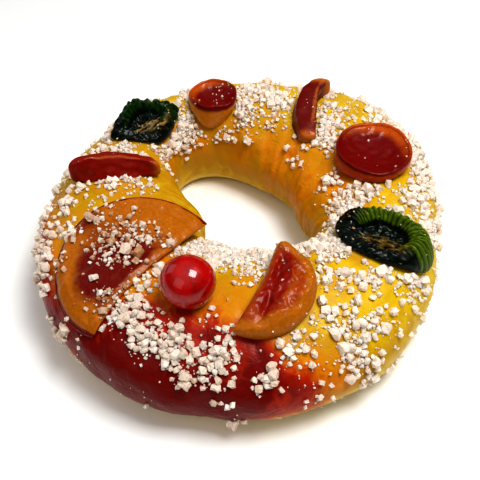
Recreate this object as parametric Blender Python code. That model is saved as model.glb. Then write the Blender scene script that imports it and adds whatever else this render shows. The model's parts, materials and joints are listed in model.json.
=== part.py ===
"""Roscon de reyes: a ring of sweet bread that carries candied fruit.

Metres, +Z up. The origin is the middle of the base, on the surface that the bread stands on.
-Y is the browned side, where the cherry is, and +X is the right of it.
Lengths below are in millimetres, and places are counted from the middle of the ring.
"""

import math

import bmesh
import bpy
import numpy as np
from mathutils import Matrix, Vector

MM = 0.001

# The ring of bread
RING_CENTRE = (1.3, 0.8)  # from the origin, so that the uneven ring is centred on it
OUTER_RADIUS = 95.0
HOLE_RADIUS = 28.8
HEIGHT = 44.0
WAIST_HEIGHT = 19.3  # where the ring is widest and its hole is narrowest
CROWN_FULLNESS = 2.04  # 2 is an elliptical section, and more is squarer
FOOT_FULLNESS = 2.6
FOOT_DEPTH = 1.10  # how far the lower half would reach below the base, before it is cut flat
RING_SEGMENTS = 76
SECTION_SEGMENTS = 24

# Swells in the ring as it rose unevenly: how many round the ring, how much, and the direction of one
OUTER_SWELLS = ((2, 3.8, 56.0), (3, 2.2, 49.0), (4, 1.1, 41.0))
HOLE_SWELLS = ((1, 10.0, 75.0), (2, 7.7, -62.5), (3, 5.0, -12.0), (4, 2.3, 34.0), (5, 1.6, -23.0))

# What all toppings share
GAP = 0.5  # between a topping and the crust under it
FACE_SHARE = 0.4  # share of a slab's outline, from middle to middle, that each flat face takes
SOFT_FALL = 0.6  # a soft slice falls towards the hole this much as fast as the crust does

# The cherry
CHERRY_RADIUS = 10.3
CHERRY_SQUASH = 0.96
CHERRY_PLACE = (-22.7, -56.6, 51.6)

# The large slice of orange, draped over the browned left side
SLICE_RADIUS = 35.0
SLICE_CUT = 0.22  # how far past its middle the disc is cut, in radii
SLICE_THICKNESS = 4.4
SLICE_EDGE = 0.06
SLICE_PLACE = (-44.2, -37.2)
SLICE_TURN = 48.0

# The thick wedge of orange at the front
WEDGE_RADIUS = 22.8
WEDGE_CUT = 0.05
WEDGE_THICKNESS = 8.6
WEDGE_EDGE = 0.3
WEDGE_PLACE = (4.1, -56.1)
WEDGE_TURN = -115.3

# Candied green fruit: place of its top, turn, half length, half width, how much its far side is raised
GREEN_FRUITS = {
    "green_fruit_right": ((57.0, -33.5, 51.0), -30.0, 21.0, 12.5, 1.5),
    "green_fruit_left": ((-44.5, 49.0, 52.0), 30.0, 16.8, 11.5, 4.0),
}
GREEN_EDGE = 0.3
GREEN_DISH = 2.4  # how far the face is hollowed
SCALLOPS = 16
SCALLOP_DEPTH = 0.035  # in radii

# Halves of candied fruit, hollow side up: place of the lip, radii across and along, depth
FRUIT_CUPS = {
    "fruit_cup_right": ((60.3, 16.2, 51.2), (17.0, 18.2), 4.6),
    "fruit_cup_back": ((-11.3, 63.2, 50.6), (12.2, 11.6), 3.4),
}
CUP_LIP = 1.5
CUP_BOWL_SHARE = 0.46  # share of the profile's length that is bowl
CUP_LIP_SHARE = 0.60  # and where its lip ends
CUP_SIDE_FULLNESS = 3.0
CUP_STEEPNESS = 1.25  # how soon a cup's side comes down to the crust

# Strips of candied peel: place of the top, turn, half length, half width, how far the bottom and
# the top edge bend sideways, and how much higher the far tip is
PEEL_STRIPS = {
    "peel_strip": ((-56.8, 17.0, 52.4), 2.0, 20.5, 3.4, -3.0, 5.0, -1.2),
    "peel_crescent": ((36.6, 50.8, 51.8), 79.0, 17.8, 4.6, 5.2, 1.6, 3.8),
}
PEEL_EDGE = 0.35
PEEL_FULLNESS = 2.7
PEEL_TIP = 0.45  # how wide a strip still is at its tips

COLOURS = {
    "bread": (0.86, 0.56, 0.10, 1.0),
    "cherry": (0.72, 0.01, 0.01, 1.0),
    "orange_slice": (0.70, 0.24, 0.02, 1.0),
    "orange_wedge": (0.62, 0.16, 0.02, 1.0),
    "green_fruit_right": (0.05, 0.16, 0.01, 1.0),
    "green_fruit_left": (0.03, 0.12, 0.01, 1.0),
    "fruit_cup_right": (0.45, 0.02, 0.01, 1.0),
    "fruit_cup_back": (0.50, 0.05, 0.01, 1.0),
    "peel_strip": (0.48, 0.03, 0.01, 1.0),
    "peel_crescent": (0.42, 0.03, 0.01, 1.0),
}
BREAD_ROUGHNESS = 0.5
CANDY_ROUGHNESS = 0.25


def swelling(angle, radius, swells):
    """A radius that swells and narrows round the ring: one cosine for each swell."""
    waves = [amount * np.cos(count * (angle - math.radians(at))) for count, amount, at in swells]
    return radius + sum(waves)


def rounded(value, fullness):
    """A sine or cosine bent so that a circle becomes a fuller, squarer oval."""
    return np.sign(value) * np.abs(value) ** (2.0 / fullness)


def ring_section(angle):
    """The middle radius and half width of the ring's section at an angle round it."""
    outer = swelling(angle, OUTER_RADIUS, OUTER_SWELLS)
    hole = swelling(angle, HOLE_RADIUS, HOLE_SWELLS)
    return (outer + hole) / 2, (outer - hole) / 2


def crust_height(x, y, fall=1.0):
    """Height of the crown above a place; fall slows how it drops from its crest to the hole."""
    middle, half = ring_section(np.arctan2(y, x))
    across = (np.hypot(x, y) - middle) / half
    across = np.clip(np.where(across < 0, across * fall, across), -1, 1)
    crown = (1 - np.abs(across) ** CROWN_FULLNESS) ** (1 / CROWN_FULLNESS)
    return WAIST_HEIGHT + (HEIGHT - WAIST_HEIGHT) * crown


def bread_points(angle, turn):
    """The ring's surface: angle is round the ring, and turn is round its section."""
    middle, half = ring_section(angle)
    rises = np.sin(turn) >= 0
    across = np.where(rises, rounded(np.cos(turn), CROWN_FULLNESS), rounded(np.cos(turn), FOOT_FULLNESS))
    crown = WAIST_HEIGHT + rounded(np.sin(turn), CROWN_FULLNESS) * (HEIGHT - WAIST_HEIGHT)
    foot = WAIST_HEIGHT * (1 + FOOT_DEPTH * rounded(np.sin(turn), FOOT_FULLNESS))
    radius = middle + half * across
    height = np.where(rises, crown, np.maximum(foot, 0))
    return np.stack([radius * np.cos(angle), radius * np.sin(angle), height], axis=-1)


def over_crust(x, y, share, top):
    """A height that is a share of the way up from just above the crust to a top."""
    lowest = crust_height(x, y) + GAP
    return lowest + np.clip(share, 0, 1) * (top - lowest)


def cut_disc(x, y, cut):
    """The unit disc squeezed to what is left of it above a straight cut, which is under its middle."""
    side = np.sqrt(np.clip(1 - x * x, 0, None))
    lowest = -np.minimum(side, cut)
    share = (y + side) / np.maximum(2 * side, 1e-9)
    return x, lowest + share * (side - lowest)


def new_material(name):
    """The node's own colour, in a Principled BSDF."""
    material = bpy.data.materials.new(name)
    material.use_nodes = True
    shader = material.node_tree.nodes["Principled BSDF"]
    shader.inputs["Base Color"].default_value = COLOURS[name]
    shader.inputs["Metallic"].default_value = 0.0
    shader.inputs["Roughness"].default_value = BREAD_ROUGHNESS if name == "bread" else CANDY_ROUGHNESS
    return material


def finish_object(name, mesh, base, matrix):
    """Links a mesh as a smooth object under the base, with its points turned back by the matrix."""
    mesh.transform(matrix.inverted())
    mesh.shade_smooth()
    mesh.materials.append(new_material(name))
    made = bpy.data.objects.new(name, mesh)
    bpy.context.scene.collection.objects.link(made)
    made.parent = base
    made.matrix_basis = matrix
    return made


def set_points(mesh, points):
    """Moves the mesh's points to places given in millimetres from the middle of the ring."""
    centre = np.array([*RING_CENTRE, 0.0])
    mesh.vertices.foreach_set("co", ((points + centre) * MM).astype(np.float32).ravel())
    mesh.update()


def mesh_points(mesh):
    """The mesh's points as an array with one row each."""
    flat = np.zeros(len(mesh.vertices) * 3)
    mesh.vertices.foreach_get("co", flat)
    return flat.reshape(-1, 3)


def place_of(x, y, z=0.0, turn=0.0):
    """The matrix of an object at a place on the ring, turned about Z by degrees."""
    where = Vector((x + RING_CENTRE[0], y + RING_CENTRE[1], z)) * MM
    return Matrix.Translation(where) @ Matrix.Rotation(math.radians(turn), 4, "Z")


def make_bread(base):
    """A torus reshaped into the risen ring, with a flat base."""
    major, minor = 2.0, 1.0
    bpy.ops.mesh.primitive_torus_add(
        major_segments=RING_SEGMENTS,
        minor_segments=SECTION_SEGMENTS,
        major_radius=major,
        minor_radius=minor,
    )
    torus = bpy.context.object
    mesh = torus.data
    bpy.data.objects.remove(torus)
    x, y, z = mesh_points(mesh).T
    set_points(mesh, bread_points(np.arctan2(y, x), np.arctan2(z, np.hypot(x, y) - major)))
    mesh.name = "bread"
    return finish_object("bread", mesh, base, Matrix.Identity(4))


def make_topping(name, base, segments, rings, matrix, shape):
    """A ball reshaped by shape(around, down), which gives points on the ring."""
    mesh = bpy.data.meshes.new(name)
    ball = bmesh.new()
    bmesh.ops.create_uvsphere(ball, u_segments=segments, v_segments=rings, radius=1.0)
    ball.to_mesh(mesh)
    ball.free()
    x, y, z = mesh_points(mesh).T
    set_points(mesh, shape(np.arctan2(y, x), np.arccos(np.clip(z, -1, 1))))
    return finish_object(name, mesh, base, matrix)


def turned(x, y, degrees):
    """Two coordinates turned about Z."""
    c, s = math.cos(math.radians(degrees)), math.sin(math.radians(degrees))
    return x * c - y * s, x * s + y * c


def slab(around, down, edge, fullness=2.0):
    """A flat disc with a round edge, edge being that edge's share of the radius, and a fuller outline if asked.

    Gives x and y, up to 1 from the middle, and a height from -1 underneath to 1 on top.
    """
    share = down / math.pi
    on_top = np.clip(share / FACE_SHARE, 0, 1)
    underneath = np.clip((1 - share) / FACE_SHARE, 0, 1)
    rim = np.clip((share - FACE_SHARE) / (1 - 2 * FACE_SHARE), 0, 1) * math.pi
    reach = (1 - edge) * np.minimum(on_top, underneath) + edge * np.sin(rim)
    across, along = rounded(np.cos(around), fullness), rounded(np.sin(around), fullness)
    return reach * across, reach * along, np.cos(rim)


def make_cherry(base):
    """A glazed cherry, a little flattened, whose underside is pressed to the crust."""
    x0, y0, z0 = CHERRY_PLACE

    def shape(around, down):
        reach = CHERRY_RADIUS * np.sin(down)
        x, y = x0 + reach * np.cos(around), y0 + reach * np.sin(around)
        z = z0 + CHERRY_RADIUS * CHERRY_SQUASH * np.cos(down)
        z = np.maximum(z, over_crust(x, y, 0, 0))
        return np.stack([x, y, z], axis=-1)

    return make_topping("cherry", base, 20, 12, place_of(*CHERRY_PLACE), shape)


def make_orange(name, base, segments, place, turn, radius, cut, thickness, edge):
    """A slice cut from an orange and halved, soft enough to lie over the crown."""

    def shape(around, down):
        x, y, z = slab(around, down, edge)
        x, y = cut_disc(x, y, cut)
        x, y = turned(x * radius, y * radius, turn)
        x, y = x + place[0], y + place[1]
        z = crust_height(x, y, SOFT_FALL) + GAP + (z + 1) / 2 * thickness
        return np.stack([x, y, z], axis=-1)

    return make_topping(name, base, segments, 12, place_of(*place, HEIGHT, turn), shape)


def make_green_fruit(name, base):
    """Half a candied green fruit: scalloped round its rind, and hollowed on its face."""
    (x0, y0, z0), turn, length, width, rise = GREEN_FRUITS[name]

    def shape(around, down):
        x, y, z = slab(around, down, GREEN_EDGE)
        scallop = 1 + SCALLOP_DEPTH * np.cos(SCALLOPS * around)
        dish = np.where(z > 0, GREEN_DISH * (1 - x * x - y * y), 0)
        top = z0 + rise * y
        x, y = turned(x * length * scallop, y * width * scallop, turn)
        z = over_crust(x0 + x, y0 + y, (1 + z) / 2, top - dish)
        return np.stack([x0 + x, y0 + y, z], axis=-1)

    return make_topping(name, base, 32, 9, place_of(x0, y0, z0, turn), shape)


def make_fruit_cup(name, base):
    """Half a candied fruit lying on its back: a shallow bowl, a round lip and a side that narrows."""
    (x0, y0, z0), (across, along), depth = FRUIT_CUPS[name]
    inner = 1 - 2 * CUP_LIP / across

    def shape(around, down):
        share = down / math.pi
        in_bowl = share < CUP_BOWL_SHARE
        on_lip = share < CUP_LIP_SHARE
        bowl = np.clip(share / CUP_BOWL_SHARE, 0, 1)
        lip = np.clip((share - CUP_BOWL_SHARE) / (CUP_LIP_SHARE - CUP_BOWL_SHARE), 0, 1) * math.pi
        side = np.clip((share - CUP_LIP_SHARE) / (1 - CUP_LIP_SHARE), 0, 1) * math.pi / 2
        lip_reach = 1 - CUP_LIP / across * (1 + np.cos(lip))
        side_reach = rounded(np.cos(side), CUP_SIDE_FULLNESS)
        reach = np.where(in_bowl, inner * bowl, np.where(on_lip, lip_reach, side_reach))
        x, y = x0 + reach * np.cos(around) * across, y0 + reach * np.sin(around) * along
        fallen = CUP_STEEPNESS * rounded(np.sin(side), CUP_SIDE_FULLNESS)
        under_lip = over_crust(x, y, 1 - fallen, z0 - CUP_LIP)
        z = np.where(on_lip, z0 - CUP_LIP * (1 - np.sin(lip)), under_lip)
        z = np.where(in_bowl, z0 - CUP_LIP - depth * (1 - bowl ** 2), z)
        return np.stack([x, y, z], axis=-1)

    return make_topping(name, base, 22, 14, place_of(x0, y0, z0), shape)


def make_peel_strip(name, base):
    """A strip of candied peel on its edge: pointed at both ends and bent like the fruit it came from."""
    (x0, y0, z0), turn, length, width, bottom_bend, top_bend, rise = PEEL_STRIPS[name]

    def shape(around, down):
        x, z, inward = slab(around, down, PEEL_EDGE, PEEL_FULLNESS)
        share, middle = (z + 1) / 2, 1 - x * x
        bend = bottom_bend + (top_bend - bottom_bend) * share
        y = bend * middle - inward * width * (PEEL_TIP + (1 - PEEL_TIP) * middle)
        top = z0 + rise * x
        x, y = turned(x * length, y, turn)
        z = over_crust(x0 + x, y0 + y, share, top)
        return np.stack([x0 + x, y0 + y, z], axis=-1)

    return make_topping(name, base, 24, 10, place_of(x0, y0, z0, turn), shape)


def main():
    for old in list(bpy.data.objects):
        bpy.data.objects.remove(old)
    base = bpy.data.objects.new("roscon", None)
    bpy.context.scene.collection.objects.link(base)
    make_bread(base)
    make_cherry(base)
    make_orange(
        "orange_slice", base, 32, SLICE_PLACE, SLICE_TURN,
        SLICE_RADIUS, SLICE_CUT, SLICE_THICKNESS, SLICE_EDGE,
    )
    make_orange(
        "orange_wedge", base, 28, WEDGE_PLACE, WEDGE_TURN,
        WEDGE_RADIUS, WEDGE_CUT, WEDGE_THICKNESS, WEDGE_EDGE,
    )
    for name in GREEN_FRUITS:
        make_green_fruit(name, base)
    for name in FRUIT_CUPS:
        make_fruit_cup(name, base)
    for name in PEEL_STRIPS:
        make_peel_strip(name, base)


main()
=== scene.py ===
"""Looks of a roscon de reyes: glazed brioche crust, candied fruit, a cherry and lumps of sugar."""

import json
import math
from functools import partial

import bpy
import numpy as np
from bpy.props import FloatProperty, FloatVectorProperty, IntProperty, PointerProperty
from mathutils import Euler, Matrix, Vector

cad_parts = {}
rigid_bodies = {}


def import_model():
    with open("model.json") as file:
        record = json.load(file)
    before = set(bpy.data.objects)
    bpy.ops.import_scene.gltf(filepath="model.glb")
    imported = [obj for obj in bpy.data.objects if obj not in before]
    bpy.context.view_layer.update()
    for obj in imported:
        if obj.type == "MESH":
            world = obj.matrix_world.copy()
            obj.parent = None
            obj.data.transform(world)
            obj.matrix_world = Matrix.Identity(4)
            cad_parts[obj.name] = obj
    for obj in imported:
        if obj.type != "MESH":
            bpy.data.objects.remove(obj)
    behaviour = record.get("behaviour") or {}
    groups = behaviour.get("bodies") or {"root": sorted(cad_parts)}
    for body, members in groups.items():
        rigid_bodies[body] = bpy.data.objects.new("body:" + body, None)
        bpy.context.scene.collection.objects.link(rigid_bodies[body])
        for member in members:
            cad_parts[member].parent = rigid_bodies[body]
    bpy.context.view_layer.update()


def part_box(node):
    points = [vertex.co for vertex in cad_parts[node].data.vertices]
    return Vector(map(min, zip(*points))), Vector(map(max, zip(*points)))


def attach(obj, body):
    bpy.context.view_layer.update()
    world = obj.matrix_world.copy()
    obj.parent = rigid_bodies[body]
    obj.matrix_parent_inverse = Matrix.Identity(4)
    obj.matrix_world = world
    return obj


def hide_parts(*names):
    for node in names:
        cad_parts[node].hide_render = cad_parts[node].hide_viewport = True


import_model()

bl_info = {
    "name": "Roscon de reyes",
    "version": (1, 0, 0),
    "blender": (4, 5, 0),
    "location": "3D View > Sidebar > Roscon",
    "description": "Builds a ring of sweet bread with candied fruit and sugar around its packed model",
    "category": "Object",
}

MM = 0.001
PER_METRE = 1000  # over a width in millimetres, the scale of a noise whose patches are that wide

# The ring, in millimetres and degrees: the swells are how many round it, how much, and the direction of one
RING_CENTRE = np.array((1.3, 0.8, 0.0))
CROWN_FULLNESS = 2.04
FOOT_FULLNESS = 2.6
FOOT_DEPTH = 1.10
OUTER_SWELLS = ((2, 3.8, 56.0), (3, 2.2, 49.0), (4, 1.1, 41.0))
HOLE_SWELLS = ((1, 10.0, 75.0), (2, 7.7, -62.5), (3, 5.0, -12.0), (4, 2.3, 34.0), (5, 1.6, -23.0))
SOFT_FALL = 0.6  # a soft slice falls towards the hole this much as fast as the crust does
CRUST_SINKS = 0.9  # the crust lies this far inside the ring's plain shape, so that the sugar reaches it
SUNK = 1.3  # and a topping's underside this far, so that it is pressed into the crust

# Where the crust browned, and below the cherry its painted shadow: angle round the ring, turn round its
# section, reach of each, how much. A turn of 0 is the outer side, 90 the crest and 180 the side of the hole.
BROWNING_AND_SHADE = (
    (-126, 8, 32, 50, 1.0),
    (-104, 14, 24, 44, 1.0),
    (-88, 26, 11, 30, 0.85),
    (-122, 58, 24, 16, 0.66),
    (-93, 60, 12, 20, 0.46),
    (-166, 2, 24, 44, 0.90),
    (-76, 10, 17, 34, 0.56),
    (-102, 70, 14, 17, 0.34),
    # Below the cherry, where its shadow falls: browning, and the cherry's shadow painted darker
    (-115, 80, 13, 15, 0.42),
    (-133, 98, 13, 18, 0.42),
    (-92, 92, 12, 14, 0.25),
    (44, 150, 70, 44, 0.44),
    (4, 112, 20, 18, 0.30),
    (-190, 90, 50, 60, 0.16),
    (132, 158, 30, 30, 0.24),
)

# Where lumps of sugar were strewn, in the same terms; the last number is how thickly
SUGARED = (
    (-98, 130, 38, 14, 2.4),
    (-134, 126, 12, 12, 1.4),
    (-250, 130, 24, 14, 1.6),
    (-200, 74, 12, 26, 1.6),
    (-176, 36, 16, 22, 0.8),
    (-159, 88, 8, 9, 1.3),
    (-147, 96, 8, 9, 1.3),
    (-168, 80, 6, 12, 0.9),
    (-131, 96, 7, 9, 1.2),
    (-130, 72, 9, 12, 1.1),
    (-118, 56, 15, 13, 1.2),
    (-104, 42, 14, 14, 1.2),
    (-86, 50, 12, 16, 0.9),
    (-77, 42, 8, 11, 1.0),
    (-62, 30, 8, 11, 1.0),
    (-66, 90, 10, 26, 1.1),
    (-52, 62, 14, 34, 0.8),
    (-36, 118, 26, 16, 1.4),
    (-16, 52, 24, 26, 0.7),
    (10, 116, 26, 20, 0.8),
    (14, 46, 26, 24, 1.6),
    (46, 104, 8, 24, 2.0),
    (60, 70, 12, 14, 0.35),
    (80, 96, 15, 20, 2.0),
    (98, 98, 12, 18, 1.2),
    (135, 96, 14, 22, 0.9),
    (62, 24, 50, 24, 0.35),
    (142, 26, 40, 26, 0.6),
)

# Where crumbs and grains of sugar lie thickest, the same way
DUSTED = (
    (-96, 132, 44, 17, 11.0),
    (-140, 126, 12, 14, 2.0),
    (-246, 128, 26, 16, 2.2),
    (-196, 92, 14, 22, 1.6),
    (-36, 122, 30, 18, 2.0),
    (8, 60, 40, 40, 0.3),
    (84, 100, 20, 22, 1.1),
    (46, 112, 8, 24, 1.2),
    (-60, 80, 30, 50, 0.25),
    (-152, 88, 13, 20, 1.1),
    (-120, 60, 20, 20, 0.6),
)


def linear(code):
    """An sRGB hex colour as linear red, green, blue and 1."""
    parts = [int(code[i : i + 2], 16) / 255 for i in (1, 3, 5)]
    return [p / 12.92 if p <= 0.04045 else ((p + 0.055) / 1.055) ** 2.4 for p in parts] + [1.0]


def length_property(name, text, millimetres):
    """A size in the sidebar, given in millimetres."""
    return FloatProperty(name=name, description=text, default=millimetres * MM, unit="LENGTH", precision=4)


def angle_property(name, text, degrees):
    """An angle in the sidebar, given in degrees."""
    return FloatProperty(name=name, description=text, default=math.radians(degrees), subtype="ANGLE")


def colour_property(name, text, code):
    """A colour in the sidebar, given as sRGB hex."""
    return FloatVectorProperty(
        name=name, description=text, default=linear(code), size=4, subtype="COLOR", min=0, max=1
    )


class RosconSizes(bpy.types.PropertyGroup):
    """Sizes of the ring, its toppings and the stage."""

    outer_radius: length_property("Outer radius", "Mean radius of the ring", 95.0)
    hole_radius: length_property("Hole radius", "Mean radius of the hole", 28.8)
    height: length_property("Height", "Height of the bread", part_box("bread")[1].z / MM)
    waist: length_property("Waist height", "Height at which the ring is widest", 19.3)
    slice_thickness: length_property("Slice thickness", "Thickness of the large orange slice", 3.7)
    wedge_thickness: length_property("Wedge thickness", "Thickness of the orange wedge", 8.6)
    lump: length_property("Sugar lump", "Mean width of a lump of sugar", 2.8)
    crumb: length_property("Sugar crumb", "Mean width of a crumb of sugar", 1.6)
    grain: length_property("Sugar grain", "Mean width of a loose grain of sugar", 0.7)
    lumps: IntProperty(name="Lumps", description="How many lumps of sugar", default=1750, min=0)
    crumbs: IntProperty(name="Crumbs", description="How many crumbs of sugar", default=3600, min=0)
    grains: IntProperty(name="Grains", description="How many loose grains", default=4000, min=0)
    seed: IntProperty(name="Seed", description="Start of the random draws", default=11)
    camera_distance: length_property("Camera distance", "From the camera to what it looks at", 342.0)
    camera_elevation: angle_property("Camera elevation", "Angle above the horizon", 47.7)
    camera_roll: angle_property("Camera roll", "Turn of the picture", -3.15)
    lens: FloatProperty(name="Lens", description="Focal length in millimetres", default=56.3)


class RosconColours(bpy.types.PropertyGroup):
    """Colours of the crust, the fruit and the sugar."""

    crust_light: colour_property("Crust, lightest", "Egg-glazed brioche at its palest", "#d0ac12")
    crust_yellow: colour_property("Crust", "Egg-glazed brioche, just set", "#ba8c0c")
    crust_amber: colour_property("Crust, golden", "Glaze that has turned golden", "#cc8208")
    crust_red: colour_property("Crust, browned", "Glaze that has browned", "#a82806")
    crust_dark: colour_property("Crust, darkest", "Glaze at its darkest", "#720a02")
    crumb: colour_property("Crumb", "Pale side that the glaze did not reach", "#dcbc62")
    cherry: colour_property("Cherry", "Glazed cherry", "#b00202")
    amber: colour_property("Candied orange", "Candied orange rind and pith", "#b0680a")
    flesh: colour_property("Candied flesh", "Dark red candied flesh", "#700502")
    green_rind: colour_property("Green rind", "Bright rind of candied green fruit", "#5a720a")
    green_dark: colour_property("Green flesh", "Near-black flesh of candied green fruit", "#041004")
    sugar: colour_property("Sugar", "Moistened lump sugar", "#eee0d2")


# ---- surfaces


def rounded(value, fullness):
    """A sine or cosine bent so that a circle becomes a fuller oval: its size raised to 2 over fullness."""
    return np.sign(value) * np.abs(value) ** (2.0 / fullness)


def step(value, low, high):
    """0 below low, 1 above high, and a smooth cubic rise between; low may be above high."""
    t = np.clip((value - low) / (high - low), 0, 1)
    return t * t * (3 - 2 * t)


def placed(x, y, degrees, centre):
    """Two coordinates turned about Z and moved to a centre."""
    c, s = math.cos(math.radians(degrees)), math.sin(math.radians(degrees))
    return x * c - y * s + centre[0], x * s + y * c + centre[1]


def waves(points, length, seed, count=26):
    """Smooth noise of about -1 to 1: a sum of plane waves of one length, in random directions and phases."""
    rng = np.random.default_rng(seed)
    direction = rng.normal(size=(count, 3))
    direction /= np.linalg.norm(direction, axis=1, keepdims=True)
    pace = 2 * math.pi / (length * rng.uniform(0.7, 1.4, count))
    phase = rng.uniform(0, 2 * math.pi, count)
    return np.cos(points @ (direction * pace[:, None]).T + phase).sum(-1) / math.sqrt(count)


def size(name):
    """A size from the sidebar, in millimetres."""
    return getattr(bpy.context.scene.roscon_sizes, name) / MM


def swelling(angle, radius, swells):
    """A radius that swells and narrows round the ring: one cosine for each swell."""
    return radius + sum(amount * np.cos(count * (angle - math.radians(at))) for count, amount, at in swells)


def ring_section(angle):
    """The middle radius and half width of the ring's section at an angle round it, in millimetres."""
    outer = swelling(angle, size("outer_radius"), OUTER_SWELLS)
    hole = swelling(angle, size("hole_radius"), HOLE_SWELLS)
    return (outer + hole) / 2, (outer - hole) / 2


def crust_height(x, y, fall=1.0):
    """Height of the crown at a place: a fuller ellipse across the ring, widened by fall towards the hole."""
    waist, height = size("waist"), size("height")
    middle, half = ring_section(np.arctan2(y, x))
    across = (np.hypot(x, y) - middle) / half
    across = np.clip(np.where(across < 0, across * fall, across), -1, 1)
    crown = (1 - np.abs(across) ** CROWN_FULLNESS) ** (1 / CROWN_FULLNESS)
    return waist + (height - waist) * crown


def ring_points(angle, turn):
    """The ring's surface: a fuller ellipse above the waist, and below it another, cut flat at the base."""
    waist, height = size("waist"), size("height")
    middle, half = ring_section(angle)
    rises = np.sin(turn) >= 0
    across = rounded(np.cos(turn), np.where(rises, CROWN_FULLNESS, FOOT_FULLNESS))
    crown = waist + rounded(np.sin(turn), CROWN_FULLNESS) * (height - waist)
    foot = waist * (1 + FOOT_DEPTH * rounded(np.sin(turn), FOOT_FULLNESS))
    radius = middle + half * across
    z = np.where(rises, crown, np.maximum(foot, 0))
    return np.stack([radius * np.cos(angle), radius * np.sin(angle), z], axis=-1)


def ring_normals(angle, turn):
    """Outward directions of the ring's surface, from the cross product of its two small steps."""
    small = 1e-3
    along = ring_points(angle + small, turn) - ring_points(angle - small, turn)
    across = ring_points(angle, turn + small) - ring_points(angle, turn - small)
    normal = np.cross(along, across)
    return normal / np.maximum(np.linalg.norm(normal, axis=-1, keepdims=True), 1e-12)


def along_crust(angle, turn):
    """Angle and turn as a flat space in which a pattern is drawn out round the section."""
    drawn_out = 4.0  # a radian round the section counts as so many degrees round the ring
    return np.stack([np.degrees(angle), turn * drawn_out, 0 * turn], axis=-1)


def seam_at(angle, turn):
    """How much of the seam in the crust is at a place: a thin bell along a slightly wavy line."""
    off = np.degrees(angle) + 93 - 6 * np.sin(turn * 2.2)  # the line is at -93 degrees and sways by 6
    return np.exp(-((off / 2.2) ** 2)) * np.exp(-(((turn - 0.95) / 0.5) ** 4))


def crust_points(angle, turn):
    """The uneven crust: the ring's surface moved along its normals by broad, small and fine waves and a seam.

    Returns its points, and the normals of the plain ring under them.
    """
    points, normals = ring_points(angle, turn), ring_normals(angle, turn)
    free = step(points[:, 2], 1.0, 9.0)  # the base stays flat
    rise = 0.6 * waves(points, 42.0, 3) + 0.3 * waves(points, 15.0, 4) + 0.10 * waves(points, 5.0, 5)
    runs = 0.35 * waves(along_crust(angle, turn), 7.0, 6) * step(turn, math.radians(100), math.radians(150))
    points = points + normals * ((rise + runs - 1.1 * seam_at(angle, turn) - CRUST_SINKS) * free)[:, None]
    points[:, 2] = np.maximum(points[:, 2], 0)
    return points, normals


def patches(angle, turn, table):
    """How much each patch in a table gives a place: its amount times a flat-topped bell in angle and turn."""
    degrees, turns = np.degrees(angle), np.degrees(turn)
    found = []
    for at_angle, at_turn, reach_angle, reach_turn, amount in table:
        off = (degrees - at_angle + 180) % 360 - 180
        distance = (off / reach_angle) ** 2 + ((turns - at_turn) / reach_turn) ** 2
        found.append(amount * np.exp(-(distance**1.5)))
    return np.array(found)


def cut_disc(x, y, cut, dent):
    """y of a unit disc, squeezed to what a cut under its middle leaves; a parabola dents the cut inwards."""
    side = np.sqrt(np.clip(1 - x * x, 0, None))
    lowest = dent * side**2 - np.minimum(side, cut)
    share = (y + side) / np.maximum(2 * side, 1e-9)
    return lowest + share * (side - lowest)


def slab(around, down, edges, face, fullness=2.0):
    """A flat disc with a half-round edge, as x, y and a height, each of -1 to 1.

    Each face grows evenly over its share of the way down, and the edge between them turns by half a circle
    and is as wide as given in x and in y.
    """
    share = down / math.pi
    flat = np.minimum(np.clip(share / face, 0, 1), np.clip((1 - share) / face, 0, 1))
    rim = np.clip((share - face) / (1 - 2 * face), 0, 1) * math.pi
    reach_x, reach_y = ((1 - edge) * flat + edge * np.sin(rim) for edge in edges)
    x, y = reach_x * rounded(np.cos(around), fullness), reach_y * rounded(np.sin(around), fullness)
    return x, y, np.cos(rim)


# ---- meshes


def quads(rows, columns, closed):
    """Corners of the squares of a grid whose columns close round, and its rows too if it is closed."""
    row, column = np.mgrid[0 : rows if closed else rows - 1, 0:columns]
    right, below = (column + 1) % columns, (row + 1) % rows
    this_row, next_row = row * columns, below * columns
    corners = [this_row + column, this_row + right, next_row + right, next_row + column]
    return np.stack(corners, axis=-1).reshape(-1, 4)


def caps(rows, columns):
    """Corners of the triangles that close a grid's first and last row on two points put after it."""
    column = np.arange(columns)
    right = (column + 1) % columns
    last = (rows - 1) * columns
    first_pole, last_pole = rows * columns, rows * columns + 1
    top = np.stack([right, column, np.full(columns, first_pole)], axis=-1)
    bottom = np.stack([last + column, last + right, np.full(columns, last_pole)], axis=-1)
    return np.concatenate([top, bottom])


def ball_grid(rows, columns):
    """Angles around and down for a ball, and its faces: a grid without its poles, and then the two poles."""
    down, around = np.meshgrid(
        np.linspace(0, math.pi, rows + 2)[1:-1],
        np.linspace(0, 2 * math.pi, columns, endpoint=False),
        indexing="ij",
    )
    faces = quads(rows, columns, False), caps(rows, columns)
    return np.append(around.ravel(), [0, 0]), np.append(down.ravel(), [0, math.pi]), faces


def add_piece(name, points, faces, material, slot, node=None, smooth=True, **marks):
    """A finished piece, from points in millimetres round the ring's middle and arrays of faces' corners.

    Its faces are turned outwards: they are reversed if the volume that they enclose comes out negative. It
    stands for the node, if one is given. Marks are numbers for each point, which the material reads by name.
    """
    fans = [g[:, [0, i, i + 1]] for g in faces for i in range(1, g.shape[1] - 1)]
    a, b, c = (points[np.concatenate(fans)[:, i]] for i in range(3))
    if (a * np.cross(b, c)).sum() < 0:
        faces = [g[:, ::-1] for g in faces]
    mesh = bpy.data.meshes.new(name)
    corners = sum((g.tolist() for g in faces), [])
    mesh.from_pydata((points + RING_CENTRE) * MM, [], corners, shade_flat=not smooth)
    for mark, values in marks.items():
        mesh.attributes.new(mark, "FLOAT", "POINT").data.foreach_set("value", np.asarray(values, np.float32))
    mesh.materials.append(material)
    made = bpy.data.objects.new(name, mesh)
    bpy.context.scene.collection.objects.link(made)
    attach(made, "root")
    if node:
        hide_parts(node)


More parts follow.
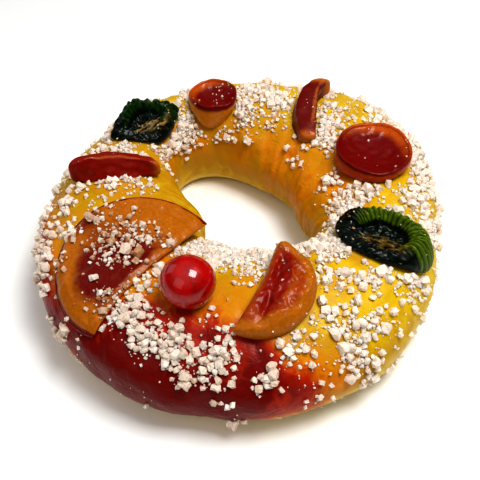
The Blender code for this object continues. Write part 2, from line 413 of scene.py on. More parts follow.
def node_box(name):
    """Lowest and highest corner of a node, in millimetres round the ring's middle."""
    return [np.array(corner) / MM - RING_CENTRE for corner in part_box(name)]


# ---- materials


def add_node(tree, kind, **settings):
    """Adds a node to a tree. Settings are its properties, the stops of its ramp, or what its inputs take.

    An input is named with _ for each space, or _ and its number. It takes a value, another node's output, or
    another node, whose first output it then reads.
    """
    made = tree.nodes.new("ShaderNode" + kind)
    for key, value in settings.items():
        if key == "stops":
            elements = made.color_ramp.elements
            while len(elements) < len(value):
                elements.new(0.5)
            for element, (place, colour) in zip(elements, value):
                element.position, element.color = place, colour
        elif hasattr(made, key):
            setattr(made, key, value)
        else:
            socket = made.inputs[int(key[1:]) if key[0] == "_" else key.replace("_", " ")]
            if isinstance(value, bpy.types.Node):
                value = value.outputs[0]
            if isinstance(value, bpy.types.NodeSocket):
                tree.links.new(value, socket)
            else:
                socket.default_value = value
    return made


def new_material(name):
    """A material without nodes, what adds one to it, and the piece's own coordinates."""
    material = bpy.data.materials.new(name)
    material.use_nodes = True
    material.node_tree.nodes.clear()
    add = partial(add_node, material.node_tree)
    return material, add, add("TexCoord").outputs["Object"]


def egg_glazed_crust():
    """Baked brioche under egg wash, a thin film that dried on: satin and yellow where it just set.

    Where the crust caught it is glossier and red-brown. Blotches are 14 mm wide, the speckle is 2.2 mm and
    faint pale lines run about 12 mm apart. Wrinkles of 5 mm and pores of 0.9 mm make its relief.
    """
    colours = bpy.context.scene.roscon_colours
    material, add, place = new_material("egg_glazed_brioche_crust")
    broad = add("TexNoise", Vector=place, Scale=PER_METRE / 14, Detail=4, Roughness=0.6, Distortion=0.2)
    fine = add("TexNoise", Vector=place, Scale=PER_METRE / 2.2, Detail=5, Roughness=0.65)
    cells = add("TexNoise", Vector=place, Scale=PER_METRE / 12, Distortion=0.3)
    # The browned mark is baked browning, and below the cherry also its painted shadow
    browned = add("Attribute", attribute_name="browned")
    blotches, speckle = 0.42, 0.16
    blotched = add("Math", operation="MULTIPLY_ADD", _0=broad, _1=blotches, _2=browned.outputs["Fac"])
    speckled = add("Math", operation="MULTIPLY_ADD", _0=fine, _1=speckle, _2=blotched)
    off = add("Math", operation="SUBTRACT", _0=cells, _1=0.5)
    apart = add("Math", operation="ABSOLUTE", _0=off)
    line = add("MapRange", From_Max=0.05, To_Min=0.09, To_Max=0.0, Value=apart)
    lined = add("Math", operation="SUBTRACT", _0=speckled, _1=line)
    # Half of what each noise adds is taken off again, less what an unbrowned crust keeps
    excess = (blotches + speckle) / 2 - 0.12
    brown = add("Math", operation="SUBTRACT", _0=lined, _1=excess)
    stops = (
        (0.04, colours.crust_light),
        (0.24, colours.crust_yellow),
        (0.54, colours.crust_amber),
        (0.82, colours.crust_red),
        (1.0, colours.crust_dark),
    )
    baked = add("ValToRGB", stops=stops, Fac=brown)
    side = add("Attribute", attribute_name="pale")
    uneven = add("Math", operation="MULTIPLY_ADD", _0=broad, _1=0.5, _2=side.outputs["Fac"])
    shown = add("MapRange", From_Min=0.5, From_Max=1.05, Value=uneven)
    colour = add("Mix", data_type="RGBA", _0=shown, _6=baked, _7=colours.crumb)
    rough = add("MapRange", From_Min=0.2, From_Max=0.9, To_Min=0.5, To_Max=0.3, Value=brown)
    wrinkles = add("TexNoise", Vector=place, Scale=PER_METRE / 5, Detail=4, Roughness=0.6, Distortion=1.2)
    pores = add("TexNoise", Vector=place, Scale=PER_METRE / 0.9, Detail=3, Roughness=0.6)
    skin = add("Bump", Strength=0.6, Distance=0.9 * MM, Height=wrinkles)
    relief = add("Bump", Strength=0.6, Distance=0.18 * MM, Height=pores, Normal=skin)
    shader = add(
        "BsdfPrincipled",
        Base_Color=colour.outputs[2],
        Roughness=rough,
        Normal=relief,
        IOR=1.4,
        Specular_IOR_Level=0.2,
        Coat_Weight=0.07,
        Coat_Roughness=0.16,
        Coat_IOR=1.4,
        Subsurface_Weight=0.12,
        Subsurface_Scale=2 * MM,
        Subsurface_Radius=(1.0, 0.5, 0.2),
    )
    add("OutputMaterial", Surface=shader)
    return material


def glazed_cherry_skin():
    """A cherry cooked in syrup and drained: clear red and wet-looking, the syrup being its coat.

    Clouds 7 mm wide lie darker under the skin, and dimples 3.4 mm wide break up its highlight.
    """
    colours = bpy.context.scene.roscon_colours
    material, add, place = new_material("glazed_cherry_skin")
    cloud = add("TexNoise", Vector=place, Scale=PER_METRE / 7, Detail=3)
    share = add("MapRange", From_Min=0.4, From_Max=0.75, Value=cloud)
    under = linear("#7c0102")
    colour = add("Mix", data_type="RGBA", _0=share, _6=colours.cherry, _7=under)
    dimples = add("TexNoise", Vector=place, Scale=PER_METRE / 3.4, Detail=3, Roughness=0.55)
    relief = add("Bump", Strength=0.7, Distance=0.55 * MM, Height=dimples)
    shader = add(
        "BsdfPrincipled",
        Base_Color=colour.outputs[2],
        Normal=relief,
        Roughness=0.26,
        IOR=1.4,
        Specular_IOR_Level=0.22,
        Coat_Weight=1.0,
        Coat_Roughness=0.04,
        Coat_IOR=1.5,
        Subsurface_Weight=0.25,
        Subsurface_Scale=3 * MM,
        Subsurface_Radius=(1.0, 0.1, 0.05),
    )
    add("OutputMaterial", Surface=shader)
    return material


def candied_fruit(name, rind, flesh, edge, mottle=6.0):
    """Fruit steeped in syrup and dried: moist and translucent, as syrup coats it and lies unevenly in it.

    Its clouds are as wide as mottle says, in millimetres, and its veins 1.3 mm. The flesh and the edge that
    each point carries say how far its colour goes from the rind's to the flesh's and to the edge's.
    """
    material, add, place = new_material(name)
    cloud = add("TexNoise", Vector=place, Scale=PER_METRE / mottle, Detail=4, Roughness=0.6, Distortion=0.5)
    veins = add("TexNoise", Vector=place, Scale=PER_METRE / 1.3, Detail=4, Roughness=0.7)
    fleshy = add("Attribute", attribute_name="flesh")
    clouded = add("Math", operation="MULTIPLY_ADD", _0=cloud, _1=0.7, _2=fleshy.outputs["Fac"])
    depth = add("Math", operation="MULTIPLY_ADD", _0=veins, _1=0.5, _2=clouded)
    shown = add("MapRange", From_Min=0.8, From_Max=1.45, Value=depth)
    inside = add("Mix", data_type="RGBA", _0=shown, _6=rind, _7=flesh)
    edged = add("Attribute", attribute_name="edge")
    rim = add("Math", operation="MULTIPLY_ADD", _0=veins, _1=0.4, _2=edged.outputs["Fac"])
    rim_shown = add("MapRange", From_Min=0.5, From_Max=1.0, Value=rim)
    colour = add("Mix", data_type="RGBA", _0=rim_shown, _6=inside.outputs[2], _7=edge)
    shade = add("MapRange", From_Min=0.3, From_Max=0.7, To_Min=0.78, To_Max=1.15, Value=veins)
    shaded = add("Mix", data_type="RGBA", blend_type="MULTIPLY", _0=1.0, _6=colour.outputs[2], _7=shade)
    dents = add("TexNoise", Vector=place, Scale=PER_METRE / 3, Detail=3, Roughness=0.55)
    soft = add("Bump", Strength=0.5, Distance=0.35 * MM, Height=dents)
    relief = add("Bump", Strength=0.7, Distance=0.16 * MM, Height=veins, Normal=soft)
    shader = add(
        "BsdfPrincipled",
        Base_Color=shaded.outputs[2],
        Normal=relief,
        Roughness=0.34,
        IOR=1.4,
        Specular_IOR_Level=0.2,
        Coat_Weight=0.24,
        Coat_Roughness=0.06,
        Coat_IOR=1.4,
        Subsurface_Weight=0.3,
        Subsurface_Scale=3 * MM,
        Subsurface_Radius=(1.0, 0.35, 0.1),
    )
    add("OutputMaterial", Surface=shader)
    return material


def lump_sugar():
    """Sugar moistened, pressed into lumps and dried: dull off-white crystals that take colour from the glaze.

    Its grit is 0.8 mm, coarser than real sugar's half millimetre, so that it shows.
    """
    colours = bpy.context.scene.roscon_colours
    material, add, place = new_material("moistened_lump_sugar")
    grit = add("TexNoise", Vector=place, Scale=PER_METRE / 0.8, Detail=3, Roughness=0.7)
    soaked = add("Attribute", attribute_name="soaked")
    syrup = linear("#b07c48")
    tint = add("Mix", data_type="RGBA", _0=soaked.outputs["Fac"], _6=colours.sugar, _7=syrup)
    shade = add("MapRange", From_Min=0.3, From_Max=0.7, To_Min=0.86, To_Max=1.06, Value=grit)
    colour = add("Mix", data_type="RGBA", blend_type="MULTIPLY", _0=1.0, _6=tint.outputs[2], _7=shade)
    relief = add("Bump", Strength=0.8, Distance=0.35 * MM, Height=grit)
    shader = add(
        "BsdfPrincipled",
        Base_Color=colour.outputs[2],
        Normal=relief,
        Roughness=0.42,
        IOR=1.55,
        Subsurface_Weight=0.7,
        Subsurface_Scale=1.6 * MM,
        Subsurface_Radius=(1.0, 0.8, 0.6),
    )
    add("OutputMaterial", Surface=shader)
    return material


# ---- pieces


class ROSCON_OT_bread(bpy.types.Operator):
    """Builds the ring of bread with its uneven, glazed crust"""

    bl_idname = "roscon.bread"
    bl_label = "Bread"

    def execute(self, context):
        rows, columns = 420, 168
        angle, turn = np.meshgrid(
            np.linspace(-math.pi, math.pi, rows, endpoint=False),
            np.linspace(-math.pi / 2, 1.5 * math.pi, columns, endpoint=False),
            indexing="ij",
        )
        angle, turn = angle.ravel(), turn.ravel()
        points, _ = crust_points(angle, turn)
        # The table's browning, and below the cherry its painted shadow
        brown = 1 - np.prod(1 - np.clip(patches(angle, turn, BROWNING_AND_SHADE), 0, 0.98), axis=0)
        brown = brown + 0.05 * waves(along_crust(angle, turn), 9.0, 7) + 0.10 * seam_at(angle, turn)
        # The outer side is pale below the glaze where it did not brown, and the base all over
        pale = step(np.degrees(turn), 22, -16) * (1 - 0.95 * np.clip(1.4 * brown, 0, 1))
        pale = np.maximum(pale, step(np.sin(turn), -0.35, -0.7))
        faces, material = (quads(rows, columns, True),), egg_glazed_crust()
        add_piece("bread_crust", points, faces, material, "bread", "bread", browned=brown, pale=pale)
        return {"FINISHED"}


class ROSCON_OT_cherry(bpy.types.Operator):
    """Builds the glazed cherry, with syrup drawn out where it meets the crust"""

    bl_idname = "roscon.cherry"
    bl_label = "Cherry"

    def execute(self, context):
        around, down, faces = ball_grid(70, 110)
        low, high = node_box("cherry")
        wider, height_share, sunk = 1.05, 0.96, 1.4
        radius = (high[0] - low[0]) / 2 * wider
        x0, y0 = (low[:2] + high[:2]) / 2
        z0 = high[2] - radius * height_share - 0.1
        uneven = 0.012 * np.cos(2 * around + 0.6) * np.sin(down) ** 2
        uneven = uneven + 0.010 * np.cos(3 * around - 1) * np.sin(down)
        reach = radius * np.sin(down) * (1 + uneven)
        z = z0 + radius * height_share * np.cos(down)
        x, y = x0 + reach * np.cos(around), y0 + reach * np.sin(around)
        floor = crust_height(x, y) - sunk
        skirt = 1 + 0.10 * np.exp(-(((z - floor - sunk) / 1.3) ** 2))
        x, y = x0 + reach * skirt * np.cos(around), y0 + reach * skirt * np.sin(around)
        z = np.maximum(z, crust_height(x, y) - sunk)
        points = np.stack([x, y, z], axis=-1)
        add_piece("glazed_cherry", points, faces, glazed_cherry_skin(), "cherry", "cherry")
        return {"FINISHED"}


def orange_points(around, down, centre, turn, radius, cut, dent, thickness, edge):
    """A half slice of orange on the crust: a cut disc laid over the crown, as thick as given.

    Returns its points, and for each its place along the cut and away from it, in radii, and up, from -1 to 1.
    """
    x, y, z = slab(around, down, (edge, edge), face=0.42)
    y = cut_disc(x, y, cut, dent)
    px, py = placed(x * radius, y * radius, turn, centre)
    height = crust_height(px, py, SOFT_FALL) - SUNK + (z + 1) / 2 * thickness
    return np.stack([px, py, height], axis=-1), x, y, z


def spot(x, y, at_x, at_y, reach_x, reach_y):
    """A soft spot: a bell over an oval."""
    return np.exp(-(((x - at_x) / reach_x) ** 2) - ((y - at_y) / reach_y) ** 2)


class ROSCON_OT_orange(bpy.types.Operator):
    """Builds the draped slice and the thick wedge of candied orange"""

    bl_idname = "roscon.orange"
    bl_label = "Candied orange"

    def execute(self, context):
        colours = context.scene.roscon_colours
        around, down, faces = ball_grid(120, 240)
        node, radius = "orange_slice", 35.0
        low, high = node_box(node)
        centre = low[0] + radius, high[1] - radius
        shape = {"cut": 0.22, "dent": 0.0, "thickness": size("slice_thickness"), "edge": 0.04}
        points, x, y, z = orange_points(around, down, centre, 48.0, radius, **shape)
        out, spoke, segment = np.hypot(x, y), np.arctan2(y, x), math.pi / 5
        off = np.abs((spoke / segment + 0.5) % 1 - 0.5) * segment * out
        membrane = np.exp(-((off / 0.03) ** 2)) * step(out, 0.84, 0.74) * step(out, 0.1, 0.25)
        relief = 0.12 * membrane + 0.26 * waves(points, 6.0, 21) + 0.10 * waves(points, 2.2, 22)
        relief = relief - 0.5 * step(out, 0.86, 0.78)  # the flesh lies lower than the rind
        relief = relief - 1.5 * step(out, 0.92, 1.0) - 1.3 * step(y, -0.12, -0.22)  # its edges are thin
        points[:, 2] += relief * step(z, 0.2, 1.0)
        soaked = 1.05 * spot(x, y, -0.36, 0.18, 0.38, 0.32) + 0.8 * spot(x, y, -0.1, 0.04, 0.34, 0.26)
        soaked = soaked * step(y, -0.20, -0.06)
        soaked = soaked + 0.8 * spot(x, y, 0.02, 0.86, 0.26, 0.14)
        soaked = soaked + 0.42 * step(out, 0.80, 0.64) * step(x, 0.7, 0.1)
        marks = {"flesh": np.clip(soaked, 0, 1) - 0.15 * membrane, "edge": 1.3 * step(out, 0.955, 0.985)}
        material = candied_fruit("candied_orange_slice", colours.amber, linear("#700e02"), linear("#6e0e02"))
        add_piece(node + "_candied", points, faces, material, "candied_orange", node, **marks)

        node, radius = "orange_wedge", 22.8
        low, high = node_box(node)
        centre = high[0] - radius, low[1] + radius
        shape = {"cut": 0.05, "dent": 0.1, "thickness": size("wedge_thickness"), "edge": 0.3}
        points, x, y, z = orange_points(around, down, centre, -115.3, radius, **shape)
        ridge = np.exp(-(((y - 0.52 - 0.10 * np.cos(4 * x)) / 0.13) ** 2)) * step(np.abs(x), 0.85, 0.5)
        knob = spot(x, y, -0.82, 0.10, 0.22, 0.20)
        groove = np.exp(-(((y - 0.30 - 0.10 * x) / 0.07) ** 2)) * step(np.abs(x), 0.8, 0.5)
        relief = 0.9 * ridge + 2.0 * knob - 1.3 * groove
        relief = relief + 0.55 * waves(points, 8.0, 23) + 0.22 * waves(points, 3.0, 24)
        points[:, 2] += relief * step(z, -0.2, 0.9)
        rind = step(np.hypot(x, y), 0.70, 0.90)
        core = np.exp(-(((y - 0.36) / 0.22) ** 4))
        deep = 1.15 * core * step(np.abs(x + 0.05), 0.80, 0.50) * (1 - rind)
        marks = {"flesh": deep, "edge": 0.85 * rind + 0.5 * knob + 0.4 * ridge}
        tones = linear("#9c4206"), linear("#861602"), linear("#ac660c")
        material = candied_fruit("candied_orange_wedge", *tones, mottle=4.0)
        add_piece(node + "_candied", points, faces, material, "candied_orange", node, **marks)
        return {"FINISHED"}


def green_points(around, down, low, high, turn, length, width, rise, ribs, fullness):
    """Half a green fruit: an oval slab whose round side is ribbed, round a hollow with a fibrous core.

    The height is the slab's over the crust, less a dish, plus a half sine for the rim with cosine ribs on it.
    Returns its points; for each, how much of the rind's colour it has, raised on the ribs' crests as painted
    highlight and lowered in their grooves as painted shade, and less towards the left end; and how much of
    the core it is.
    """
    x, y, z = slab(around, down, (0.3, 0.3), face=0.42, fullness=fullness)
    out, spoke = (np.abs(x) ** fullness + np.abs(y) ** fullness) ** (1 / fullness), np.arctan2(y, x)
    rinded = step(y + 0.35 * x, -0.45, -0.05)
    rib = np.cos(ribs * spoke + 1.2 * np.sin(3 * spoke) + 0.8 * np.sin(7 * spoke))
    rim = step(out, 0.42, 0.54) * rinded
    scallop = 1 + 0.022 * rib * rim
    core = np.exp(-(((y + 0.34) / 0.24) ** 2) - ((x - 0.1) / 0.5) ** 4)
    dish = 3.0 * step(out, 0.70, 0.36) * (1 - 0.7 * core) * step(x, -0.95, -0.5)
    x, y = x * length * scallop, y * width * scallop
    px, py = placed(x, y, turn, (low + high) / 2)
    flat = np.stack([px, py, 6.0 * z], axis=-1)
    fibres = waves(np.stack([x * 0.35, y, z], axis=-1), 1.7, 33)
    rough = 0.4 * waves(flat, 3.0, 31) + 0.35 * waves(flat, 7.0, 32) + 0.5 * fibres * core
    ridge = 2.2 * np.sin(math.pi * np.clip((out - 0.40) / 0.56, 0, 1)) * rinded
    top = high[2] - 1.8 - rise * (1 - y / width)
    relief = (0.45 * rib * rim + ridge + rough - dish) * step(z, -0.3, 0.6)
    floor = crust_height(px, py) - SUNK
    height = np.maximum(floor + (z + 1) / 2 * (top - floor) + relief, floor + 0.9 * (z + 1))
    # The rind's colour, lighter on the ribs' crests and darker in their grooves: painted highlight and
    # painted shade
    rind_with_painted_rib_light = rim * (0.72 + 0.28 * rib) * step(x, -0.9 * length, -0.35 * length)
    return np.stack([px, py, height], axis=-1), rind_with_painted_rib_light, core * (0.75 + 0.6 * fibres) * step(z, 0.3, 0.9)


class ROSCON_OT_green_fruit(bpy.types.Operator):
    """Builds the two halves of candied green fruit, with ribbed rinds"""

    bl_idname = "roscon.green_fruit"
    bl_label = "Candied green fruit"

    def execute(self, context):
        colours = context.scene.roscon_colours
        around, down, faces = ball_grid(100, 320)
        for node, turn, length, width, rise, ribs, fullness, core_colour, rind in (
            ("green_fruit_right", -30.0, 21.0, 12.5, 1.5, 36, 2.0, "#6e5512", colours.green_rind),
            ("green_fruit_left", 30.0, 18.4, 13.0, 4.0, 18, 1.25, "#8d7440", linear("#1a3a08")),
        ):
            low, high = node_box(node)
            points, rim, core = green_points(
                around, down, low, high, turn, length, width, rise, ribs, fullness
            )
            material = candied_fruit(node + "_flesh", colours.green_dark, linear(core_colour), rind, 3.0)
            # The edge mark carries the rind's colour with its painted rib highlight and shade
            marks = {"flesh": core, "edge": rim}
            add_piece(node + "_candied", points, faces, material, "candied_green_fruit", node, **marks)
        return {"FINISHED"}


def cup_points(around, down, low, high, depth, lip, seed):
    """Half a fruit, hollow side up: a power curve for the bowl, a half circle for the lip, a full oval below.

    Returns its points, and for each how far out in the bowl it is and how far down the side.
    """
    across, along = (high[0] - low[0]) / 2, (high[1] - low[1]) / 2
    x0, y0 = (low[:2] + high[:2]) / 2
    bowl_share, lip_share = 0.46, 0.56
    share = down / math.pi
    bowl = np.clip(share / bowl_share, 0, 1)
    turn = np.clip((share - bowl_share) / (lip_share - bowl_share), 0, 1) * math.pi
    side = np.clip((share - lip_share) / (1 - lip_share), 0, 1) * math.pi / 2
    in_bowl, on_lip = share < bowl_share, share < lip_share
    reach = np.where(on_lip, 1 - lip / across * (1 + np.cos(turn)), rounded(np.cos(side), 2.6))
    reach = np.where(in_bowl, (1 - 2 * lip / across) * bowl, reach)
    bulge = 0.13 * np.sin(2 * side) * np.clip(np.cos(around - math.radians(215)), 0, 1)
    wobble = 1 + 0.02 * np.cos(2 * around + seed) + 0.014 * np.cos(5 * around + 2 * seed) + bulge
    x, y = x0 + reach * np.cos(around) * across * wobble, y0 + reach * np.sin(around) * along * wobble
    floor = crust_height(x, y) - SUNK
    top = high[2] - lip - 0.5 + 0.5 * np.cos(2 * around - seed) * reach
    fallen = np.clip(1.25 * rounded(np.sin(side), 2.6), 0, 1)
    z = np.where(on_lip, top + lip * np.sin(turn), top - fallen * (top - floor))
    z = np.where(in_bowl, top - depth * (1 - bowl**2.2), z)
    z = z + 0.2 * waves(np.stack([x, y, z], axis=-1), 5.0, 41 + int(seed)) * step(share, 0.97, 0.9)
    return np.stack([x, y, z], axis=-1), bowl, np.where(share > lip_share, fallen, 0)


class ROSCON_OT_fruit_cups(bpy.types.Operator):
    """Builds the two hollow halves of candied fruit"""

    bl_idname = "roscon.fruit_cups"
    bl_label = "Candied fruit halves"

    def execute(self, context):
        colours = context.scene.roscon_colours
        around, down, faces = ball_grid(100, 160)
        for node, depth, lip, seed, lit, side in (
            ("fruit_cup_right", 3.4, 0.8, 1.0, 55.0, "#b03e04"),
            ("fruit_cup_back", 3.0, 0.8, 2.0, 120.0, "#cc8418"),
        ):
            low, high = node_box(node)
            points, bowl, below = cup_points(around, down, low, high, depth, lip, seed)
            # The bowl's wall on the side towards the light, at the angle lit, is painted orange instead of
            # dark red flesh: painted light. thin says how far round the bowl a point is towards that side
            thin = 0.5 + 0.5 * np.cos(around - math.radians(lit))
            painted_lit_wall = step(bowl, 0.5, 1.0) * (0.02 + 0.98 * thin**1.5)
            flesh = 1.2 - 1.2 * painted_lit_wall - 0.6 * step(below, 0.0, 0.15)
            marks = {"flesh": flesh, "edge": 0.9 * step(below, 0.02, 0.25)}
            material = candied_fruit(node + "_flesh", linear("#b45206"), colours.flesh, linear(side), 9.0)
            add_piece(node + "_candied", points, faces, material, "candied_red_fruit", node, **marks)
        return {"FINISHED"}


def peel_points(around, down, centre, top, turn, length, width, bends, rise, curl):
    """A strip of peel on its edge: a full oval, whose two long edges bend by parabolas and its tip by a cube.

    Bends are those of the lower and of the upper edge, and curl is that of the tip.
    """
    x, z, inward = slab(around, down, (0.08, 0.14), face=0.42, fullness=4.2)
    share, middle = (z + 1) / 2, 1 - x * x
    bend = bends[0] + (bends[1] - bends[0]) * share
    y = bend * middle - inward * width * (0.75 + 0.25 * middle) - curl * np.clip(x, 0, 1) ** 3
    rough = np.stack([x * length, y, z * 6.0], axis=-1)
    y = y + 0.25 * waves(rough, 6.0, 51)
    px, py = placed(x * (length + 0.2 * curl), y, turn, centre)
    floor = crust_height(px, py) - SUNK
    top = top - abs(rise) + rise * x + 0.3 * waves(rough, 9.0, 52)
    return np.stack([px, py, floor + share * (top - floor)], axis=-1), x, share, inward


def ends_of(along, low, high):
    """1 beyond the places low and high along a strip, 0 between them, with a soft change."""
    return np.maximum(step(along, low, low - 0.3), step(along, high, high + 0.3))


class ROSCON_OT_peel(bpy.types.Operator):
    """Builds the two strips of candied peel"""

    bl_idname = "roscon.peel"
    bl_label = "Candied peel"

    def execute(self, context):
        around, down, faces = ball_grid(80, 150)
        for node, centre, turn, length, width, bends, rise, curl, ends, flesh in (
            ("peel_strip", (-56.8, 16.2), 2.0, 20.5, 2.2, (-1.9, 4.0), -1.9, 0.0, (-2.0, 0.72), "#861603"),
            ("peel_crescent", (36.6, 50.8), 79.0, 18.0, 4.8, (5.2, 2.6), 3.8, 4.8, (-0.72, 0.6), "#6a0a02"),
        ):
            top = node_box(node)[1][2]
            points, along, share, inward = peel_points(
                around, down, centre, top, turn, length, width, bends, rise, curl
            )
            pale = ends_of(along, *ends)
            lip = step(share, 0.92, 0.98) * step(inward, 0.2, 0.7)
            marks = {"flesh": 0.9 - 0.9 * pale, "edge": np.clip(0.55 * lip + 0.7 * pale, 0, 0.9)}
            material = candied_fruit(node + "_rind", linear("#a24a0a"), linear(flesh), linear("#b9742c"), 7.0)
            add_piece(node + "_candied", points, faces, material, "candied_red_fruit", node, **marks)
        return {"FINISHED"}


def block_grid(count):
    """Points over a cube, a count of them along each edge, and the corners of the squares between them."""
    side = np.linspace(-1, 1, count)
    first, second = np.meshgrid(side, side, indexing="ij")
    row, column = np.mgrid[0 : count - 1, 0 : count - 1]
    start = (row * count + column).ravel()
    square = np.stack([start, start + count, start + count + 1, start + 1], axis=-1)
    sheets = []
    for axis in range(3):
        for sign in (-1, 1):
            sheet = np.empty((count, count, 3))
            sheet[..., axis] = sign
            sheet[..., (axis + 1) % 3] = first * sign
            sheet[..., (axis + 2) % 3] = second
            sheets.append(sheet.reshape(-1, 3))
    points, merged = np.unique(np.concatenate(sheets).round(6), axis=0, return_inverse=True)
    corners = np.concatenate([square + i * count * count for i in range(6)])
    return points, merged.ravel()[corners]


def crystals(centres, sizes, rng, count):
    """Lumps of sugar as one mesh: each is a cube with its corners drawn in, jittered, stretched and turned.

    A point is divided by the root of its distance from the middle, which is halfway from a cube to a ball.
    """
    cube, corners = block_grid(count)
    cube = cube / np.linalg.norm(cube, axis=1, keepdims=True) ** 0.5
    many = len(centres)
    shape = cube[None] * rng.uniform(0.66, 1.12, (many, 1, 3))
    shape = shape + rng.uniform(-0.24, 0.24, (many, len(cube), 3))
    turns, _ = np.linalg.qr(rng.normal(size=(many, 3, 3)))
    turns *= np.sign(np.linalg.det(turns))[:, None, None]
    shape = np.einsum("npk,nkj->npj", shape, turns)
    points = centres[:, None] + shape * (sizes[:, None, None] / 2)
    offsets = (np.arange(many) * len(cube))[:, None, None]
    return points.reshape(-1, 3), (corners[None] + offsets).reshape(-1, 4), len(cube)


def strewn(count, rng, table, spread):
    """Places on the ring where sugar lies, single or in clumps: random ones, kept by how thick it was strewn.

    Returns the angle and turn of each.
    """
    many = count * 30
    few = 0.035  # what falls on the crust between the patches
    full = 4.5  # at this thickness every place is kept
    singles, in_clump = 0.4, 12
    angle = rng.uniform(-math.pi, math.pi, many)
    turn = rng.uniform(math.radians(-25), math.radians(205), many)
    middle, half = ring_section(angle)
    area = (middle + half * np.cos(turn)) / middle.max()
    thick = patches(angle, turn, table).sum(0) + few * step(turn, 2.3, 1.8)
    patchy = np.clip(0.35 + 0.9 * waves(ring_points(angle, turn), 13.0, 61), 0.02, None)  # over 13 mm
    kept = rng.uniform(0, full, many) < thick * patchy * area
    angle, turn = angle[kept], turn[kept]
    last = np.where(rng.uniform(0, 1, count) < singles, len(angle), count // in_clump)
    repeat = rng.integers(0, last)
    off = rng.normal(size=(2, count)) * spread
    middle, half = ring_section(angle[repeat])
    angle = angle[repeat] + off[0] / (middle + half * np.cos(turn[repeat]))
    return angle, turn[repeat] + off[1] / half


def spaced(points, wide, share):
    """Which lumps to keep so that no two are closer than a share of their mean width."""
    kept = np.ones(len(points), bool)
    for i in range(len(points)):
        if kept[i]:
            away = np.linalg.norm(points[i + 1 :] - points[i], axis=1)
            kept[i + 1 :] &= away > share * (wide[i + 1 :] + wide[i]) / 2
    return kept


def lifted(points, normals):
    """Places on the crust, moved up onto the topping that covers them, with its name or an empty one."""
    covered = np.full(len(points), "", dtype="<U32")
    points, normals = points.copy(), normals.copy()
    for made in [o for o in bpy.context.scene.objects if o.name.endswith(("_candied", "glazed_cherry"))]:
        low, high = (np.array(made.bound_box[i]) / MM - RING_CENTRE for i in (0, 6))
        near = np.flatnonzero((points[:, :2] > low[:2]).all(1) & (points[:, :2] < high[:2]).all(1))
        for i in near:
            start = (points[i] + RING_CENTRE) * MM
            start[2] = (high[2] + 10) * MM
            hit, place, normal, _ = made.ray_cast(Vector(start), Vector((0, 0, -1)))
            if hit and normals[i][2] > 0.2:  # the walls are left as they are
                points[i] = np.array(place) / MM - RING_CENTRE
                normals[i] = normal
                covered[i] = made.name
    return points, normals, covered


class ROSCON_OT_sugar(bpy.types.Operator):
    """Strews lumps and loose grains of sugar over the ring and the fruit"""

    bl_idname = "roscon.sugar"
    bl_label = "Sugar"

    def execute(self, context):
        sizes = context.scene.roscon_sizes
        rng = np.random.default_rng(sizes.seed)
        material = lump_sugar()
        for name, table, count, width, spread, on_fruit, spacing, fineness in (
            ("sugar_lumps", SUGARED, sizes.lumps, size("lump"), 3.0, 0.0, 0.74, 3),
            ("sugar_crumbs", DUSTED, sizes.crumbs, size("crumb"), 3.0, 0.0, 0.6, 2),
            ("sugar_grains", SUGARED + DUSTED, sizes.grains, size("grain"), 3.5, 0.12, 0.6, 2),
        ):
            tries = 2 * count
            angle, turn = strewn(tries, rng, table, spread)
            wide = width * np.clip(rng.lognormal(0, 0.3, tries), 0.5, 1.55)
            points, normals, covered = lifted(*crust_points(angle, turn))
            bedded = rng.uniform(0.12, 0.34, tries)  # how far out its middle is, in widths
            centres = points + normals * (wide * bedded)[:, None]
            on_slice = 0.6 * step(turn, 2.15, 1.85)  # none lies on its tip over the hole
            on_topping = np.where(covered == "orange_slice_candied", on_slice, on_fruit)
            chance = np.where(covered == "", 1.0, on_topping)
            chance[covered == "glazed_cherry"] = 0
            kept = np.flatnonzero(rng.uniform(0, 1, tries) < chance)
            kept = kept[spaced(centres[kept], wide[kept], spacing)][:count]
            centres, wide, angle, turn = centres[kept], wide[kept], angle[kept], turn[kept]
            # Sugar on browned crust, and on the painted shadow below the cherry, takes up more colour, and
            # sugar on fruit the most
            browned = np.clip(patches(angle, turn, BROWNING_AND_SHADE).max(0), 0, 1)
            soaked = (0.12 + 0.3 * browned) * rng.uniform(0, 1, len(wide))
            soaked = np.where(covered[kept] == "", soaked, rng.uniform(0, 1, len(wide)) ** 1.5)
            shape, faces, each = crystals(centres, wide, rng, fineness)
            add_piece(name, shape, (faces,), material, "sugar", smooth=False, soaked=np.repeat(soaked, each))
        return {"FINISHED"}


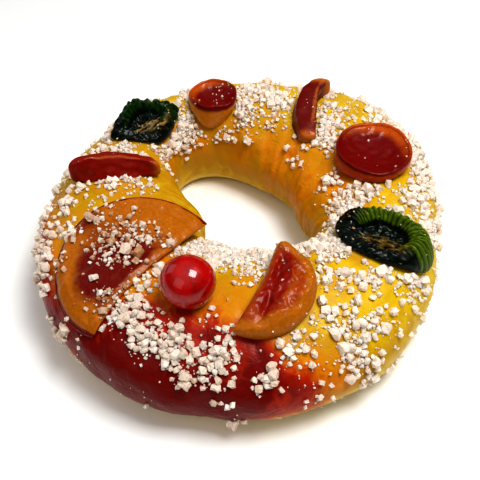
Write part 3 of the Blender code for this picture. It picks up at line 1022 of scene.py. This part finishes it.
class ROSCON_OT_stage(bpy.types.Operator):
    """Adds the pale floor, the soft lights and the camera"""

    bl_idname = "roscon.stage"
    bl_label = "Stage"

    def execute(self, context):
        scene, sizes = context.scene, context.scene.roscon_sizes
        side, below = 4.0, -0.3 * MM
        mesh = bpy.data.meshes.new("floor")
        corners = [(-side, -side, below), (side, -side, below), (side, side, below), (-side, side, below)]
        mesh.from_pydata(corners, [], [(0, 1, 2, 3)])
        floor = bpy.data.objects.new("floor", mesh)
        material, add, _ = new_material("matt_white_paper")
        shader = add("BsdfPrincipled", Base_Color=linear("#f4f4f2"), Roughness=0.9)
        add("OutputMaterial", Surface=shader)
        mesh.materials.append(material)
        scene.collection.objects.link(floor)
        middle = Vector((0, 0, 0.02))
        for name, place, power, width in (
            ("key", (0.22, -0.06, 0.62), 3.0, 0.29),
            ("fill", (-0.5, -0.5, 0.6), 0.75, 0.6),
            ("rim", (-0.6, 0.4, 0.35), 0.35, 0.4),
        ):
            light = bpy.data.lights.new(name, "AREA")
            light.energy, light.size = power, width
            lamp = bpy.data.objects.new(name, light)
            lamp.location = place
            lamp.rotation_euler = (middle - Vector(place)).to_track_quat("-Z", "Y").to_euler()
            scene.collection.objects.link(lamp)
        world = bpy.data.worlds.new("studio")
        world.use_nodes = True
        sky = world.node_tree
        # Its light comes from above, and the camera alone sees it white all round
        up = add_node(sky, "SeparateXYZ", Vector=add_node(sky, "TexCoord").outputs["Generated"])
        bright = add_node(sky, "MapRange", From_Min=0.4, To_Min=0.06, To_Max=0.6, Value=up.outputs["Z"])
        behind = add_node(sky, "LightPath").outputs["Is Camera Ray"]
        seen = add_node(sky, "Math", operation="MULTIPLY", _0=behind, _1=0.85)
        strength = add_node(sky, "Math", operation="MAXIMUM", _0=bright, _1=seen)
        light = sky.nodes["Background"].inputs
        sky.links.new(strength.outputs[0], light["Strength"])
        light["Color"].default_value = linear("#ffffff")
        scene.world = world
        scene.view_settings.view_transform = "Standard"
        scene.view_settings.look = "High Contrast"
        camera = bpy.data.objects.new("camera", bpy.data.cameras.new("camera"))
        camera.data.lens = sizes.lens
        tilt = math.pi / 2 - sizes.camera_elevation
        turn = Euler((tilt, 0, 0)).to_matrix().to_4x4() @ Matrix.Rotation(sizes.camera_roll, 4, "Z")
        target = Vector((-0.0006, -0.0077, 0.0202))
        back = Vector((0, -math.cos(sizes.camera_elevation), math.sin(sizes.camera_elevation)))
        camera.matrix_world = Matrix.Translation(target + back * sizes.camera_distance) @ turn
        scene.collection.objects.link(camera)
        scene.camera = camera
        return {"FINISHED"}


class ROSCON_PT_panel(bpy.types.Panel):
    """Lists the pieces in the sidebar"""

    bl_label = "Roscon de reyes"
    bl_idname = "ROSCON_PT_panel"
    bl_space_type = "VIEW_3D"
    bl_region_type = "UI"
    bl_category = "Roscon"

    def draw(self, context):
        for operator in OPERATORS:
            self.layout.operator(operator.bl_idname)
        for group in (context.scene.roscon_sizes, context.scene.roscon_colours):
            column = self.layout.column()
            for name in group.__annotations__:
                column.prop(group, name)


OPERATORS = (
    ROSCON_OT_bread,
    ROSCON_OT_cherry,
    ROSCON_OT_orange,
    ROSCON_OT_green_fruit,
    ROSCON_OT_fruit_cups,
    ROSCON_OT_peel,
    ROSCON_OT_sugar,
    ROSCON_OT_stage,
)
CLASSES = (RosconSizes, RosconColours, *OPERATORS, ROSCON_PT_panel)


def register():
    for made in CLASSES:
        bpy.utils.register_class(made)
    bpy.types.Scene.roscon_sizes = PointerProperty(type=RosconSizes)
    bpy.types.Scene.roscon_colours = PointerProperty(type=RosconColours)


def unregister():
    del bpy.types.Scene.roscon_colours
    del bpy.types.Scene.roscon_sizes
    for made in reversed(CLASSES):
        bpy.utils.unregister_class(made)


def main():
    """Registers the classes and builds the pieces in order."""
    register()
    for operator in OPERATORS:
        group, name = operator.bl_idname.split(".")
        getattr(getattr(bpy.ops, group), name)()


if __name__ == "__main__":
    main()
